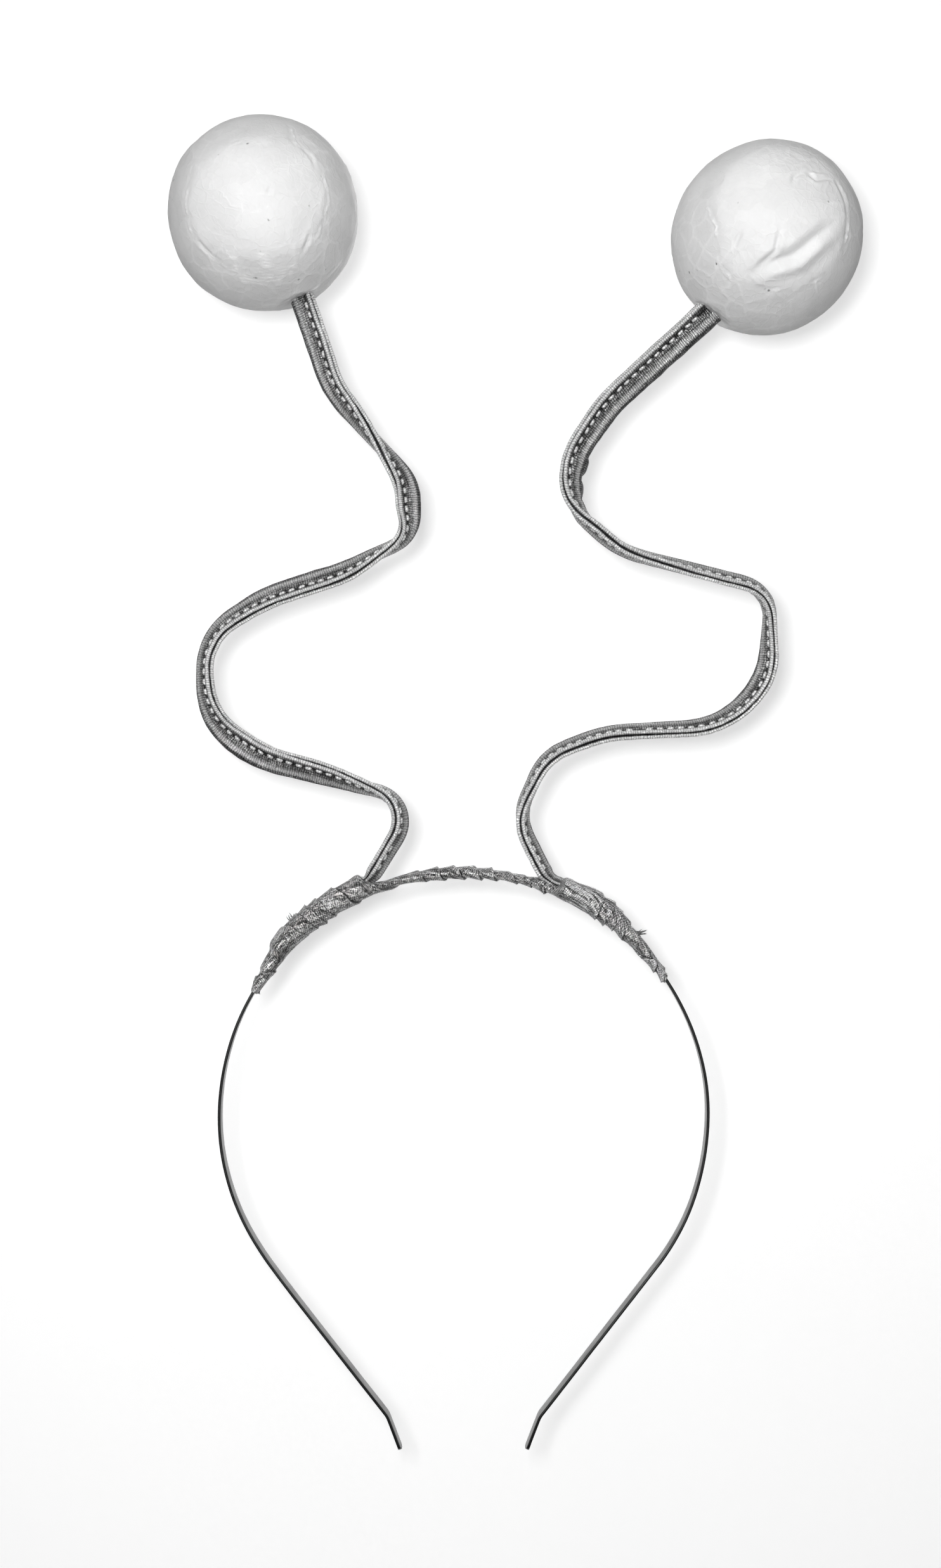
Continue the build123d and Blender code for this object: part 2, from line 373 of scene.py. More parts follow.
def lame(name, dark, light, rib_pitch, streak_stretch, slant, glint):
    """Silver metallised cloth: fine ribs across, streaks along, painted glints on some threads,
    painted shade in recesses and painted highlight on crests.
    """
    n = Look(name)
    place = n.coords("weave")
    apart = n.add("ShaderNodeSeparateXYZ", {0: place})
    across = apart.outputs[1]
    along = n.total((apart.outputs[0], 1), (across, slant))
    wander = n.noise(n.scaled(place, 0.9), 1.0, 2.0)
    ribs = n.total((n.math("DIVIDE", along, rib_pitch), 1), (wander, 1.6))
    ribs = n.sine(n.times(ribs, math.tau))
    warp = n.sine(n.times(across, math.tau / WARP_PITCH))
    cloth = n.total((ribs, 0.5), (warp, 0.28))
    streaks = n.noise(n.scaled(place, streak_stretch), 1.0, 5.0, 0.72, 0.6)
    # Painted glints: each thread cell adds a random brightness to the colour
    threads = n.scaled(place, (1 / THREAD_LENGTH, 1 / THREAD_WIDTH, 1.0))
    spark = n.first_channel(n.voronoi(threads, 1.0, "Color"))
    cloud = n.noise(n.scaled(place, (0.22, 0.3, 0.3)), 1.0, 3.0)
    tone = n.total((streaks, 0.74), (spark, glint), (cloud, 0.2), (0.05, 1), (cloth, 0.14))
    colour = n.ramp(tone, (0.46, dark), (0.64, 0.2 * light), (0.82, light))
    # Painted shade in recesses, darkened towards black, and painted highlight on crests, lightened
    # with the ribs showing; crests are also made less metallic so that they look brighter
    relief_and_shade = n.painted("relief_and_shade")
    colour = n.mix(n.remap(relief_and_shade, 0.0, 0.5, 0.9, 0.0), colour, 0.008)
    ribbed = n.remap(ribs, -1.0, 1.0, 0.45, 1.0)
    crest_highlight = n.times(n.remap(relief_and_shade, 0.55, 1.0, 0.0, 0.85), ribbed)
    colour = n.mix(crest_highlight, colour, 0.95)
    rough = n.remap(streaks, 0.25, 0.75, 0.46, 0.26)
    height = n.total((cloth, 0.35), (streaks, 1.6), (spark, 0.35))
    normal = n.bump(height, 0.75, 0.00022)
    return n.set(
        Base_Color=colour,
        Metallic=n.remap(relief_and_shade, 0.5, 1.0, 0.86, 0.42),
        Roughness=rough,
        Normal=normal,
        Anisotropic=0.35,
        Specular_IOR_Level=0.6,
    )


def thread_material():
    """Twisted polyester sewing thread."""
    n = Look("sewing_thread")
    place = n.coords("weave")
    apart = n.add("ShaderNodeSeparateXYZ", {0: place})
    strand = n.sine(n.total((apart.outputs[0], 9.0), (apart.outputs[1], 1)))
    fuzz = n.noise(n.scaled(place, (6.0, 2.0, 2.0)), 1.0, 3.0)
    tone = n.total((strand, 0.16), (fuzz, 0.9))
    colour = n.ramp(tone, (0.2, 0.42), (0.75, 0.95))
    return n.set(
        Base_Color=colour,
        Metallic=0.35,
        Roughness=n.remap(fuzz, 0.3, 0.7, 0.55, 0.36),
        Normal=n.bump(strand, 0.5, 0.00008),
        Sheen_Weight=0.3,
    )


def steel_material(name, dark, light, stretch, rough_low, rough_high, attribute=None):
    """Drawn spring steel: fine streaks along its length, smudges and a few pits."""
    n = Look(name)
    place = n.coords(attribute)
    streaks = n.noise(n.scaled(place, stretch), 1.0, 6.0, 0.7)
    patch = 0.16 if attribute else 160.0
    smudge = n.noise(n.scaled(place, patch), 1.0, 3.0)
    pit_size = 0.9 if attribute else 900.0
    pits = n.noise(n.scaled(place, pit_size), 1.0, 1.0)
    tone = n.total((streaks, 0.6), (smudge, 0.4))
    colour = n.ramp(tone, (0.28, dark), (0.72, light))
    colour = n.mix(n.remap(pits, 0.72, 0.8, 0.0, 0.6), colour, 0.08)
    if attribute:
        # The strip's edges are painted much darker than its faces
        rim = n.remap(n.painted("relief_and_shade"), 0.0, 1.0, 0.0, 0.85)
        colour = n.mix(rim, colour, 0.03)
    return n.set(
        Base_Color=colour,
        Metallic=1.0,
        Roughness=n.remap(tone, 0.3, 0.7, rough_high, rough_low),
        Normal=n.bump(streaks, 0.35, 0.00006),
    )


def foam_material(name, seed, cell):
    """Moulded bead foam: skin of pressed beads with faint borders, and pits and an outer zone
    painted dark as shade.
    """
    n = Look(name)
    place = n.coords()
    moved = n.add("ShaderNodeVectorMath", {0: place, 1: (seed, 0.2 * seed, 0)}).outputs[0]
    wobble = n.add("ShaderNodeTexNoise", {"Vector": moved, "Scale": 210.0, "Detail": 2.0})
    shift = n.scaled(wobble.outputs["Color"], 0.0042)
    bent = n.add("ShaderNodeVectorMath", {0: moved, 1: shift}, operation="ADD").outputs[0]
    beads = 1000.0 / cell
    cells = n.voronoi(bent, beads, randomness=0.9, feature="DISTANCE_TO_EDGE")
    tint = n.first_channel(n.voronoi(bent, beads, "Color", randomness=0.9))
    shown = n.remap(n.noise(moved, 75.0, 2.0), 0.5, 0.66, 0.03, 0.6)
    border = n.times(n.remap(cells, 0.0, 0.04, 1.0, 0.0), shown)
    small = n.voronoi(bent, 420.0, feature="DISTANCE_TO_EDGE")
    grain = n.remap(small, 0.0, 0.12, 1.0, 0.0)
    pore = n.remap(n.voronoi(moved, 300.0), 0.05, 0.13, 1.0, 0.0)
    few = n.remap(n.noise(moved, 260.0, 1.0), 0.6, 0.66, 0.0, 1.0)
    pore = n.times(pore, few)
    mottled = n.noise(moved, 95.0, 4.0, 0.6)
    tone = n.total((mottled, 0.5), (tint, 0.16))
    colour = n.ramp(tone, (0.2, 0.74), (0.52, 0.82))
    colour = n.mix(n.times(border, 0.25), colour, 1.0)
    # Painted shade: outside the ring of broken skin the foam is darkened
    outside = n.remap(n.painted("cap"), 0.0, 1.0, 1.0, 0.0)
    colour = n.mix(outside, colour, 0.87, "MULTIPLY")
    colour = n.mix(n.times(n.painted("mark"), 0.85), colour, 1.0)
    # Painted shade: the pits are darkened
    colour = n.mix(n.times(pore, 0.8), colour, 0.16)
    height = n.total((border, 0.25), (grain, 0.1), (pore, -0.9), (tint, 0.25), (mottled, 0.6))
    return n.set(
        Base_Color=colour,
        Roughness=n.remap(mottled, 0.3, 0.7, 0.66, 0.5),
        Normal=n.bump(height, 0.6, 0.0005),
        Subsurface_Weight=0.12,
        Subsurface_Radius=(0.002, 0.002, 0.002),
        Subsurface_Scale=1.0,
        Specular_IOR_Level=0.35,
    )


def glue_material():
    """Clear hot glue, slightly cloudy, with small bubbles."""
    n = Look("hot_glue")
    place = n.coords()
    cloud = n.noise(place, 400.0, 3.0)
    bubbles = n.voronoi(place, 900.0)
    return n.set(
        Base_Color=n.ramp(cloud, (0.3, (0.70, 0.69, 0.64)), (0.7, (0.85, 0.84, 0.8))),
        Roughness=n.remap(cloud, 0.3, 0.7, 0.2, 0.4),
        Transmission_Weight=0.4,
        Normal=n.bump(bubbles, 0.4, 0.0002),
    )


sleeve_cloth = lame("silver_sleeve_cloth", 0.03, 0.85, 0.62, (0.07, 1.9, 1.0), 0.0, 0.15)
ribbon_cloth = lame("silver_ribbon_cloth", 0.04, 0.9, 0.5, (0.14, 2.8, 1.0), 0.3, 0.28)
thread_look = thread_material()
RUN_STREAKS = (0.05, 5.0, 5.0)
band_look = steel_material("band_spring_steel", 0.1, 0.42, RUN_STREAKS, 0.2, 0.38, "weave")
wire_look = steel_material("wire_steel", 0.3, 0.6, 900.0, 0.25, 0.45)
glue_look = glue_material()

# ---- Band: two halves that meet at the top of the crown ----

BAND_STEP = 0.8
TIP_BEND_STEPS = 8
EDGE_POINTS = 4
EDGE_ROUND = 0.36


def band_line():
    """The right half's centreline (x, z) from the top of the crown to the tip."""
    angles = np.arange(0.0, 90 + LEG_LEAN, math.degrees(BAND_STEP / BAND_RADIUS))
    arc = on_arch(np.append(angles, 90 + LEG_LEAN), BAND_RADIUS)
    heading = at_lean(LEG_LEAN)
    leg = arc[-1] + heading * np.arange(BAND_STEP, LEG_LENGTH, BAND_STEP)[:, None]
    bend = [arc[-1] + heading * LEG_LENGTH]
    turned = LEG_LEAN - TIP_LEAN
    length = TIP_BEND_RADIUS * math.radians(turned) / TIP_BEND_STEPS
    for i in range(TIP_BEND_STEPS):
        lean = LEG_LEAN - turned * (i + 0.5) / TIP_BEND_STEPS
        bend.append(bend[-1] + length * at_lean(lean))
    along_tip = np.append(np.arange(0.4, TIP_LENGTH, 0.4), TIP_LENGTH)[:, None]
    return np.concatenate([arc, leg, bend, bend[-1] + at_lean(TIP_LEAN) * along_tip])


def strip_section(width, thickness):
    """Rounded strip section as (across the strip, out from the arch)."""
    points = []
    edge = min(EDGE_ROUND, thickness / 2 * 0.9)
    across, out = width / 2 - edge, thickness / 2 - edge
    for sign_w, sign_t, first in ((1, 1, 0), (-1, 1, 90), (-1, -1, 180), (1, -1, 270)):
        for i in range(EDGE_POINTS + 1):
            turn = math.radians(first + 90 * i / EDGE_POINTS)
            c, s = edge * math.cos(turn), edge * math.sin(turn)
            points.append((sign_w * across + c, sign_t * out + s))
    return np.array(points)


def band_half(side):
    sign = -1 if side == "left" else 1
    line = band_line()
    _, outwards = headings(line)
    length = run_length(line)
    left = length[-1] - length
    # The strip has been pressed and straightened by hand, so it wavers a little
    waver = 0.12 * field(41, length * 0.045, 3.0 * sign, layers=2)
    waver *= np.clip(left / 12, 0, 1) * np.clip((length - 62) / 20, 0, 1)
    line = line + outwards * waver[:, None]
    rings, coords, rim = [], [], []
    for i in range(len(line)):
        # The tip's corners are clipped round, and its very edge is a little burred
        inset = max(0.0, TIP_CORNER_RADIUS - left[i])
        narrow = TIP_CORNER_RADIUS - math.sqrt(max(TIP_CORNER_RADIUS**2 - inset**2, 0.0))
        thick = BAND_THICKNESS * (1 + 0.22 * math.exp(-((left[i] / 0.9) ** 2)))
        across, out = strip_section(BAND_WIDTH - 2 * narrow * 0.92, thick)[:: -sign].T
        x, z = line[i][:, None] + outwards[i][:, None] * out
        rings.append(np.stack([sign * x, across, z], axis=1))
        coords.append(np.stack([length[i] + 0 * out, across + 20 * sign, out], axis=1))
        rim.append(np.clip((np.abs(across) - BAND_WIDTH / 2 + 0.4) / 0.3, 0, 1))
    made = tube(f"{side}_band_half", np.array(rings), np.array(coords), np.array(rim))
    made.data.materials.append(band_look)
    return made


ARM_FLEX_LENGTH = 46.0

for side, hinge_angle in (("left", -59.67), ("right", 56.57)):
    half = band_half(side)
    start = on_arch(hinge_angle, BAND_RADIUS)
    further = hinge_angle + math.copysign(math.degrees(ARM_FLEX_LENGTH / BAND_RADIUS), hinge_angle)
    end = on_arch(further, BAND_RADIUS)
    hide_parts(f"{side}_band_arm")
    if side == "left":
        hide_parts("band_crown")
    start, end = (start[0] * MM, 0, start[1] * MM), (end[0] * MM, 0, end[1] * MM)
    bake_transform(half)

# ---- Ribbon wound over the crown ----

# Angle round the arch, distance of the outer and inner face from its centre, and
# width along Y, all before the turns' own steps
RIBBON_KEYS = np.array(
    [
        (-59.4, 65, 62.75, 5.9), (-58, 65.3, 62.6, 6.1), (-54.5, 65.6, 62.5, 6.4),
        (-54, 66.2, 62.4, 6.6), (-49.5, 66.9, 62.3, 7), (-48.2, 68.2, 62.5, 8.4),
        (-45, 68.7, 62.5, 9), (-38, 68.9, 62.4, 9.2), (-30, 68.8, 62.4, 9.2),
        (-24, 68.6, 62.5, 9.2), (-23.2, 67.9, 62.6, 8.8), (-22, 65.9, 62.8, 6.6),
        (-18.5, 65, 62.9, 6.2), (-13, 65.1, 62.6, 6.4), (-8, 65.4, 62.3, 6.6),
        (0, 65.3, 62.4, 6.6), (8, 65, 62.6, 6.4), (15, 65, 62.6, 6.4), (19, 65.2, 62.5, 6.3),
        (22.3, 65.4, 62.5, 6.4), (23, 67.6, 62.4, 8.7), (26, 67.8, 62.2, 8.9), (30, 68.7, 62, 9.2),
        (36, 68.3, 62.3, 9), (38.8, 67.6, 62.5, 8.4), (41, 66.6, 62.5, 7.6), (46, 66, 62.7, 7),
        (51, 65.5, 62.8, 6.5), (56.3, 64.95, 63, 5.9),
    ]
)
RIBBON_AROUND = 112
RIBBON_ANGLE_STEP = 0.11
RIBBON_PITCH = 5.9
RIBBON_LAP = 0.7
SQUARENESS = 2.7


def ribbon_shape():
    """Rings of the wound ribbon and its pattern coordinates."""
    angles = np.arange(RIBBON_LEFT, RIBBON_RIGHT, RIBBON_ANGLE_STEP)
    angles = np.append(angles, RIBBON_RIGHT)
    outer, inner, width = (
        smoothed(np.interp(angles, RIBBON_KEYS[:, 0], RIBBON_KEYS[:, k]), 3)[:, None]
        for k in (1, 2, 3)
    )
    round_it = np.linspace(0, math.tau, RIBBON_AROUND, endpoint=False)
    along = np.radians(angles)[:, None] * BAND_RADIUS

    # The helix: turns of uneven pitch, laid at an uneven slant
    uneven = 1.3 * field(3, along * 0.085, 7.0)
    turns = along / RIBBON_PITCH + uneven
    slant = 0.35 * field(5, along * 0.12, 19.0)
    helix = turns - round_it / math.tau
    helix = helix + slant * np.sin(round_it + 0.8) * 0.5
    helix += 0.035 * field(9, along * 0.6, round_it * 2.2)
    phase = helix - np.floor(helix)
    number = np.floor(helix)

    # Each turn rises to a free edge that laps over the next
    rise = phase**1.6
    lift = field(15, number * 3.7, 2.0)
    lap = RIBBON_LAP * (0.75 + 0.55 * lift) * rise
    standing = np.clip(field(23, along * 0.35, round_it * 1.4), 0, 1)
    curl = 0.2 * bell(1 - phase, 0.09) * standing

    # Pleats run nearly along the crown, each turn's at its own slant
    tilt = 0.22 + 0.12 * field(31, number * 1.3, 5.0)
    girth = 0.5 * ((outer - inner) + width) / 2 * round_it * 1.05
    skew = girth - tilt * along * 1.7
    drift = along * 0.1 + number * 5.3
    pleats = field(51, drift, skew * 1.8, number * 2.1, layers=3)
    fine = field(61, along * 0.22, skew * 4.2, number * 3.3)
    gather = np.clip(1.2 - 1.4 * np.abs(phase - 0.5), 0.35, 1.0)
    relief_and_shade = (0.085 * pleats + 0.05 * fine) * gather

    out_offset = lap + curl + relief_and_shade
    cos_w, sin_w = np.cos(round_it), np.sin(round_it)
    power = 2 / SQUARENESS
    unit_r = np.sign(sin_w) * np.abs(sin_w) ** power
    unit_y = np.sign(cos_w) * np.abs(cos_w) ** power
    radial = (outer + inner) / 2 + ((outer - inner) / 2 - 0.12 + out_offset) * unit_r
    depth = (width / 2 - 0.15 + out_offset) * unit_y

    # Where a stalk comes out, the wrap is drawn up against it
    for root, reach, strength in ((-24.0, 1.4, 0.35), (24.2, 1.2, 0.3)):
        near = bell(angles - root, reach)[:, None]
        radial = radial + strength * near * np.clip(unit_r, 0, 1) ** 2

    # The cut ends are not square
    bent = angles[:, None] + 0 * round_it
    for end, cut, turn, way in ((RIBBON_LEFT, 1.3, 1.0, 1), (RIBBON_RIGHT, 1.2, 2.0, -1)):
        sliced = cut * np.cos(round_it - turn) * bell(angles - end, 3.0)[:, None]
        bent = bent + way * np.clip(sliced, 0, 2)
    place = on_arch(bent, radial)
    rings = np.stack([place[..., 0], depth, place[..., 1]], axis=-1)
    coords = np.stack(
        np.broadcast_arrays(along, skew + number * 1.7, number * 4.1), axis=-1
    )
    # Painted light: the lapped edge gets a painted highlight, and the valley under it and between
    # pleats painted shade
    relief_and_shade = 0.53 + 0.2 * pleats * gather + 0.34 * fine
    seen = np.clip(0.7 + 0.6 * lift, 0.35, 1)
    relief_and_shade += 0.4 * seen * bell(1 - phase, 0.045)
    relief_and_shade -= 0.9 * seen * bell(phase, 0.06)
    return angles, rings, coords, np.clip(relief_and_shade, 0, 1)


def ribbon():
    """The wound ribbon, with its ends turned in towards the band."""
    angles, rings, coords, relief_and_shade = ribbon_shape()
    ends = []
    for i, step in ((0, -1), (-1, 1)):
        ring = rings[i]
        centre = on_arch(angles[i], BAND_RADIUS)
        middle = np.array([centre[0], 0, centre[1]])
        inwards = [middle + (ring - middle) * s for s in (0.86, 0.66)]
        heading = on_arch(angles[i] - step * 1.2, BAND_RADIUS) - centre
        inwards[1] = inwards[1] + (heading[0], 0, heading[1])
        ends.append(inwards)
    rings = np.concatenate([ends[0][::-1], rings, ends[1]])
    coords = np.concatenate([coords[:1], coords[:1], coords, coords[-1:], coords[-1:]])
    # The turned-in ends get the lowest value: the darkest painted shade
    relief_and_shade = np.concatenate([0 * relief_and_shade[:1], 0 * relief_and_shade[:1], relief_and_shade, 0 * relief_and_shade[:2]])
    made = tube("ribbon_wrap_cloth", rings[:, ::-1], coords[:, ::-1], relief_and_shade[:, ::-1])
    made.data.materials.append(ribbon_cloth)
    return made


def tuft(name, angle, radius, depth, lean, count, length, seed):
    """A few frayed ribbon threads standing up from the wrap."""
    rng = np.random.default_rng(seed)
    points, faces, coords = [], [], []
    around, steps = 6, 7
    for _ in range(count):
        base = on_arch(angle + rng.normal(0, 0.35), radius - 0.35)
        turn = math.radians(angle + lean + rng.normal(0, 16))
        heading = np.array([math.sin(turn), rng.normal(0, 0.25), math.cos(turn)])
        side = np.cross(heading, (0.3, 1.0, 0.2))
        side /= np.linalg.norm(side)
        other = np.cross(heading, side)
        reach = length * rng.uniform(0.45, 1.0)
        sway = rng.normal(0, 0.35, 2)
        first = len(points)
        for i in range(steps):
            t = i / (steps - 1)
            middle = np.array([base[0], depth, base[1]]) + heading * reach * t
            middle = middle + (side * sway[0] + other * sway[1]) * t * t
            thick = 0.16 * (1 - t) ** 0.6 + 0.03
            for j in range(around):
                w = math.tau * j / around
                points.append(middle + thick * (side * math.cos(w) + other * math.sin(w)))
                coords.append((reach * t, w, rng.uniform(0, 0.01)))
        faces += ring_faces(steps, around, first)
    # The frayed threads all get 0.6, which paints a slight highlight on them
    made = mesh_object(name, points, faces, coords, np.full(len(points), 0.6))
    made.data.materials.append(ribbon_cloth)
    return made


wrap = ribbon()
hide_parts("ribbon_wrap")
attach(wrap, "crown")
right_fray = tuft("ribbon_fray_right", 43.6, 66.4, -1.6, 42.0, 9, 2.9, 5)
left_fray = tuft("ribbon_fray_left", -41.0, 69.0, -1.0, -4.0, 6, 1.6, 8)
for piece in (right_fray, left_fray):
    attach(piece, "crown")

# ---- Stalks ----

PATH_STEP = 0.4
PATH_SMOOTHING = 1.3
TILT_SMOOTHING = 3.0
BASE_END = 12.5
STITCH_PITCH = 2.7
STITCH_LENGTH = 1.75
STITCH_THICKNESS = 0.36
STITCH_DEPTH = 3.75

# Half of the sleeve's section, from between the lips round to the back of the fold:
# (out from the middle, forward from the wire)
HALF_SECTION = [
    (0, 4.5), (0.14, 5.05), (0.3, 5.5), (0.52, 5.74), (0.84, 5.78), (1.1, 5.6), (1.24, 5.22),
    (1.18, 4.8), (1.02, 4.4), (0.8, 4.1), (0.74, 3.65), (0.84, 3.2), (1.1, 2.8), (1.32, 2.15),
    (1.5, 1.4), (1.72, 0.65), (1.85, 0), (1.8, -0.6), (1.5, -1.2), (0.95, -1.65), (0, -1.87),
]


def rounded_path(points, radii):
    """Evenly spaced points along straight runs joined by tangent arcs."""
    corners = [np.array(p, float) for p in points]
    out = [corners[0]]
    for i, radius in enumerate(radii):
        corner = corners[i + 1]
        back = corners[i] - corner
        back /= np.linalg.norm(back)
        onward = corners[i + 2] - corner
        onward /= np.linalg.norm(onward)
        opening = math.acos(float(np.clip(back @ onward, -1, 1)))
        cut = radius / math.tan(opening / 2)
        inside = (back + onward) / np.linalg.norm(back + onward)
        middle = corner + inside * radius / math.sin(opening / 2)
        first = corner + back * cut - middle
        turn = math.pi - opening
        if back[0] * onward[1] - back[1] * onward[0] > 0:
            turn = -turn
        for t in np.linspace(0, turn, max(4, int(abs(turn) * radius / 0.2))):
            c, s = math.cos(t), math.sin(t)
            out.append(middle + (c * first[0] - s * first[1], s * first[0] + c * first[1]))
    out.append(corners[-1])
    line = np.array(out)
    length = run_length(line)
    even = np.linspace(0, length[-1], int(length[-1] / PATH_STEP))
    line = np.stack([np.interp(even, length, line[:, k]) for k in (0, 1)], axis=1)
    return smoothed(line, PATH_SMOOTHING / PATH_STEP)


def foot_points(foot_angle, root_angle):
    """Three points that lay a stalk's foot on the arch, from its end to the root."""
    half = math.radians(abs(root_angle - foot_angle) / 2)
    return [
        on_arch(foot_angle, FOOT_RADIUS),
        on_arch((foot_angle + root_angle) / 2, FOOT_RADIUS / math.cos(half)),
        on_arch(root_angle, FOOT_RADIUS),
    ]


class Stalk:
    """One stalk's wire line with the frame that its sleeve's section follows."""

    def __init__(self, side):
        self.side = side
        facts = STALKS[side]
        foot = foot_points(*facts["foot"])
        turn = math.radians(facts["entry_angle"])
        heading = np.array([math.cos(turn), math.sin(turn)])
        last = np.array(facts["corners"][-1])
        self.ball = np.array(facts["ball"])
        nearest = (self.ball - last) @ heading
        miss = np.linalg.norm(self.ball - last - heading * nearest)
        self.entry = last + heading * (nearest - math.sqrt(BALL_RADIUS**2 - miss**2))
        points = foot + facts["corners"] + [self.entry + heading * SLEEVE_IN_BALL]
        self.line = rounded_path(points, [FOOT_BEND_RADIUS, ROOT_BEND_RADIUS] + facts["bends"])
        self.root = foot[-1]
        upwards = np.array(facts["corners"][0]) - self.root
        self.upwards = upwards / np.linalg.norm(upwards)
        heading, self.leftwards = headings(self.line)
        self.length = np.arange(len(self.line)) * PATH_STEP
        turning = np.gradient(np.unwrap(np.arctan2(heading[:, 1], heading[:, 0])))
        self.curl = smoothed(turning / PATH_STEP, 3)
        keys = sorted((self.nearest((x, z)), angle) for x, z, angle in facts["tilts"])
        tilt = np.interp(np.arange(len(self.line)), *zip(*keys))
        self.tilt = np.radians(smoothed(tilt, TILT_SMOOTHING / PATH_STEP))

    def nearest(self, place):
        return int(np.argmin(np.linalg.norm(self.line - np.array(place), axis=1)))

    def above_root(self, distance):
        """Index of the ring at a distance from the root along the first straight run."""
        return self.nearest(self.root + self.upwards * distance)

    def place(self, index, out, forward):
        """Points for (out from the middle, forward from the wire) at path indices."""
        index = np.asarray(index, float)
        steps = np.arange(len(self.line))
        x, z, tx, tz, tilt = (
            np.interp(index, steps, v)
            for v in (*self.line.T, *self.leftwards.T, self.tilt)
        )
        c, s = np.cos(tilt), np.sin(tilt)
        in_plane = out * c + forward * s
        depth = out * s - forward * c
        return np.stack([x + in_plane * tx, WIRE_Y + depth, z + in_plane * tz], axis=-1)

    def squeeze(self):
        """How far the wrap presses the foot's fold flat: 1 is not at all."""
        rise = np.clip((self.length - self.length[self.above_root(-1.0)]) / 3.0, 0, 1)
        return 0.62 + 0.38 * rise * rise * (3 - 2 * rise)


def sleeve_rings(stalk, seed):
    """The whole sleeve's rings, from the foot's end into the ball."""
    half = np.array(HALF_SECTION)
    section = np.concatenate([half, (half * (-1, 1))[-2:0:-1]])
    count = len(stalk.line)
    out = np.tile(section[:, 0], (count, 1))
    forward = np.tile(section[:, 1], (count, 1))
    side = np.sign(out)
    length = stalk.length[:, None]

    # Stitches pull the two layers together between the needle holes
    stitch = 0.5 - 0.5 * np.cos(math.tau * length / STITCH_PITCH)
    at_seam = bell(forward - STITCH_DEPTH + 0.05, 0.5) * (np.abs(out) > 0.5)
    beside = bell(forward - STITCH_DEPTH + 1.1, 0.7) * (np.abs(out) > 0.5)
    out -= side * (0.13 * stitch * at_seam)
    pucker = 0.5 + 0.5 * field(seed + 1, length * 0.21, side * 4.0)
    out += side * 0.12 * stitch * beside * pucker

    # The lips open and close and their edges wander
    lip = np.clip((forward - 4.3) / 1.2, 0, 1)
    opening = field(seed + 2, length * 0.07, 3.0)
    out += side * lip * (0.09 * opening - 0.02)
    wander = field(seed + 3, length * 0.13, side * 5.0, layers=2)
    forward += lip * 0.16 * wander
    crimp = field(seed + 4, length * 0.9, side * 9.0)
    out += side * lip * 0.05 * crimp

    # The side walls are slack: they cup in and out, and ripple inside the bends
    wall = np.clip((forward + 0.3) / 1.2, 0, 1) * np.clip((3.5 - forward) / 1.2, 0, 1)
    cup = field(seed + 5, length * 0.06, side * 3.0, layers=2)
    out += side * wall * (0.13 * cup - 0.05)
    inner = np.clip(side * np.sign(stalk.curl)[:, None], 0, 1)
    tight = np.clip(np.abs(stalk.curl)[:, None] * 14, 0, 1)
    warped = length + 0.9 * field(seed + 6, length * 0.3, forward * 0.5)
    ripple = np.sin(math.tau * warped / 2.7) * inner * tight
    out += side * 0.17 * ripple * wall
    crumple = field(seed + 7, length * 0.55, forward * 0.9, side * 3.0, layers=3)
    body = np.where(np.abs(out) > 0.02, 1.0, 0.4)
    out += side * 0.035 * crumple * body
    fold = np.clip((0.4 - forward) / 1.6, 0, 1)
    fold_wave = field(seed + 8, length * 0.24, 8.0, layers=3)
    forward -= fold * 0.13 * fold_wave

    # Crumpled scallops at the fold's back, on the inside of a sharp bend
    for spot in STALKS[stalk.side]["scallops"]:
        centre = stalk.length[stalk.nearest(spot)]
        bulge = np.sqrt(np.clip(1 - ((length - centre) / 2.7) ** 2, 0, 1))
        forward -= fold * 1.5 * (bulge - 0.25 * (bulge > 0))
        out = out * (1 + 0.12 * fold * bulge)

    press = stalk.squeeze()[:, None]
    out = out * press
    forward = np.where(forward > 0, forward * (0.8 + 0.2 * (press - 0.62) / 0.38), forward)
    rings = stalk.place(np.arange(count)[:, None] + 0 * out, out, forward)
    # Painted shade and highlight: the recesses between the lips and the sewn channels are painted
    # dark, the crests of the lips and the fold bright, and the back of the fold darker
    across, ahead = np.abs(section[:, 0]), section[:, 1]
    relief_and_shade = 0.5 + 0.5 * bell(ahead - 5.6, 0.5) * (across > 0.25)
    relief_and_shade -= 0.5 * bell(across, 0.22) * (ahead > 4)
    relief_and_shade -= 0.42 * bell(ahead - 3.75, 0.62) * (across > 0.5)
    relief_and_shade += 0.42 * bell(ahead - 0.9, 0.7)
    relief_and_shade -= 0.3 * np.clip((0.1 - ahead) / 0.8, 0, 1)
    relief_and_shade = np.tile(relief_and_shade, (count, 1))
    coords = np.stack(np.broadcast_arrays(length, run_length(section), float(seed)), axis=-1)
    return rings[:, ::-1], coords[:, ::-1], relief_and_shade[:, ::-1]


